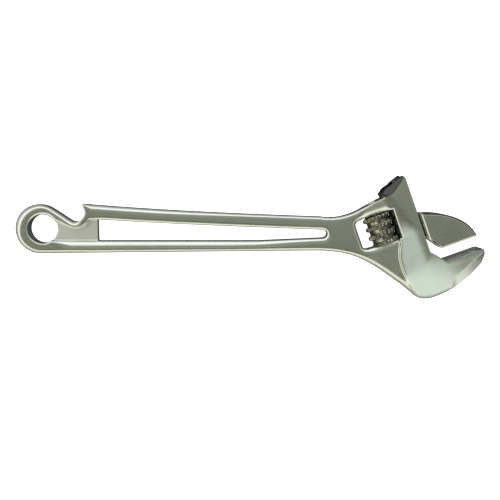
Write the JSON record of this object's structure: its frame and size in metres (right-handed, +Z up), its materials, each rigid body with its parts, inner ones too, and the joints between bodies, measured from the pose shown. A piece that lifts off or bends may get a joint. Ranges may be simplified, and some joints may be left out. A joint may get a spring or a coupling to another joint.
{
  "type": "adjustable wrench",
  "caption": "Plated adjustable wrench with a worm-driven sliding jaw, a slotted I-section handle, a hook notch and a ring eye.",
  "frame": {"origin": "bottom centre of the whole wrench's box, as it lies flat with its jaw at the stored opening", "axes": "+X along the handle towards the head, +Y towards the edge with the hook notch, +Z up through the thickness"},
  "size_m": [0.3, 0.0784, 0.0194],
  "materials": {
    "plated_body": "polished plating over a forging",
    "plated_jaw": "polished plating, ground on the rack and the grip face",
    "worm_steel": "serrated and lightly polished",
    "pin_steel": "turned",
    "spring_steel": "drawn wire"
  },
  "bodies": {
    "body": {"wrench_body": "plated_body", "worm_pin": "pin_steel", "worm_spring": "spring_steel"},
    "worm": {"adjusting_worm": "worm_steel"},
    "jaw": {"movable_jaw": "plated_jaw"}
  },
  "joints": [
    {"name": "jaw_slide", "type": "slide", "parent": "body", "child": "jaw", "axis": [0.342, -0.9397, 0], "range_m": [-0.0235, 0.008]},
    {"name": "worm_turn", "type": "hinge", "parent": "body", "child": "worm", "pos_m": [0.08435, 0.00625, 0.0097], "axis": [-0.342, 0.9397, 0], "range_deg": [-1459, 497]}
  ],
  "couplings": [
    {"joint": "worm_turn", "follows": "jaw_slide", "rad_per_m": 1083.3}
  ]
}
